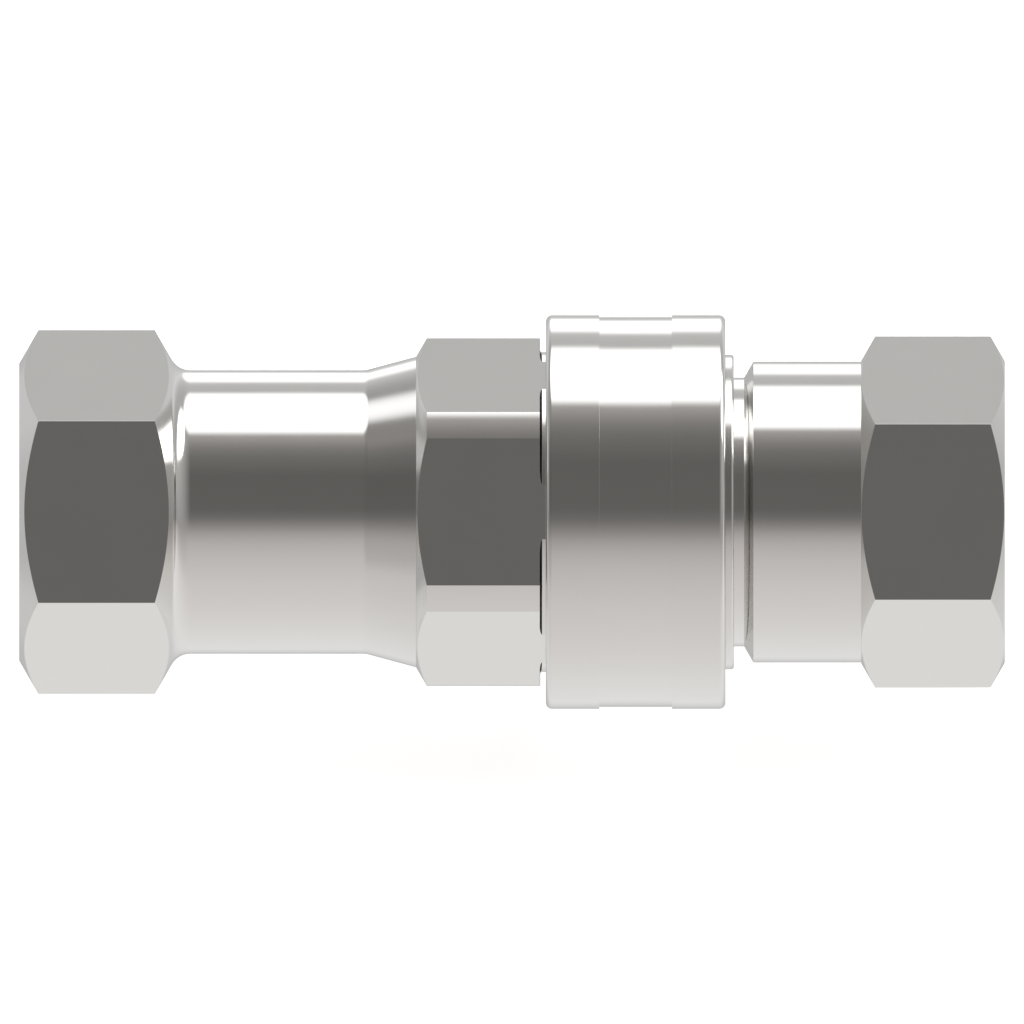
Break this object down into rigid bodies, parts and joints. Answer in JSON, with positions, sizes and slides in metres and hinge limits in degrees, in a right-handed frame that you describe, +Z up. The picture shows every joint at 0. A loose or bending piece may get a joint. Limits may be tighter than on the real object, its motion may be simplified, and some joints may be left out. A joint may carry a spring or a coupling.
{
  "type": "quick coupling",
  "caption": "Hydraulic quick coupling shown connected: hexagon port ends, a sliding release sleeve over locking balls, and a poppet valve in each half.",
  "frame": {"origin": "on the flow axis, halfway between the two port faces", "axes": "+X along the flow axis towards the nipple's port; +Z up, square to a hexagon flat; the coupler's port faces -X"},
  "size_m": [0.144, 0.0575, 0.0574],
  "materials": {
    "stainless_adapter": "turned and milled stainless steel, polished",
    "stainless_body": "turned and milled stainless steel, polished",
    "stainless_sleeve": "turned stainless steel, polished",
    "stainless_nipple": "turned and milled stainless steel, polished",
    "stainless_valve": "turned stainless steel",
    "hardened_balls": "ground and polished",
    "spring_wire": "drawn stainless wire",
    "spring_ring": "stamped stainless strip or wire",
    "seal_rubber": "moulded",
    "backup_ring": "turned, waxy"
  },
  "bodies": {
    "coupler": {"coupler_adapter": "stainless_adapter", "coupler_body": "stainless_body", "locking_balls": "hardened_balls", "sleeve_spring": "spring_wire", "sleeve_spring_stop_ring": "spring_ring", "sleeve_retaining_ring": "spring_ring", "interface_seal": "seal_rubber", "interface_backup_ring": "backup_ring", "adapter_joint_seal": "seal_rubber", "coupler_valve_spring": "spring_wire", "coupler_valve_guide": "stainless_valve"},
    "washer": {"sleeve_thrust_washer": "spring_ring"},
    "sleeve": {"release_sleeve": "stainless_sleeve"},
    "nipple": {"nipple_body": "stainless_nipple", "nipple_valve_spring": "spring_wire", "nipple_valve_guide": "stainless_valve", "nipple_guide_snap_ring": "spring_ring"},
    "coupler_valve": {"coupler_poppet": "stainless_valve", "coupler_poppet_seal": "seal_rubber"},
    "nipple_valve": {"nipple_poppet": "stainless_valve", "nipple_poppet_seal": "seal_rubber"}
  },
  "joints": [
    {"name": "sleeve_slide", "type": "slide", "parent": "coupler", "child": "washer", "axis": [1, 0, 0], "range_m": [-0.006, 0], "stiffness_N_per_m": 1000, "springref_m": 0.02, "deforming": ["sleeve_spring"]},
    {"name": "sleeve_spin", "type": "hinge", "parent": "washer", "child": "sleeve", "pos_m": [0.021, 0, 0], "axis": [1, 0, 0], "continuous": true},
    {"name": "nipple_swivel", "type": "hinge", "parent": "coupler", "child": "nipple", "pos_m": [0.02, 0, 0], "axis": [1, 0, 0], "continuous": true},
    {"name": "coupler_poppet_float", "type": "slide", "parent": "coupler", "child": "coupler_valve", "axis": [1, 0, 0], "range_m": [-0.0005, 0.0005], "stiffness_N_per_m": 4000, "deforming": ["coupler_valve_spring"]},
    {"name": "nipple_poppet_float", "type": "slide", "parent": "nipple", "child": "nipple_valve", "axis": [1, 0, 0], "range_m": [-0.0005, 0.0005], "stiffness_N_per_m": 4000, "deforming": ["nipple_valve_spring"]}
  ],
  "couplings": [
    {"joint": "nipple_poppet_float", "follows": "coupler_poppet_float", "ratio": 1}
  ]
}
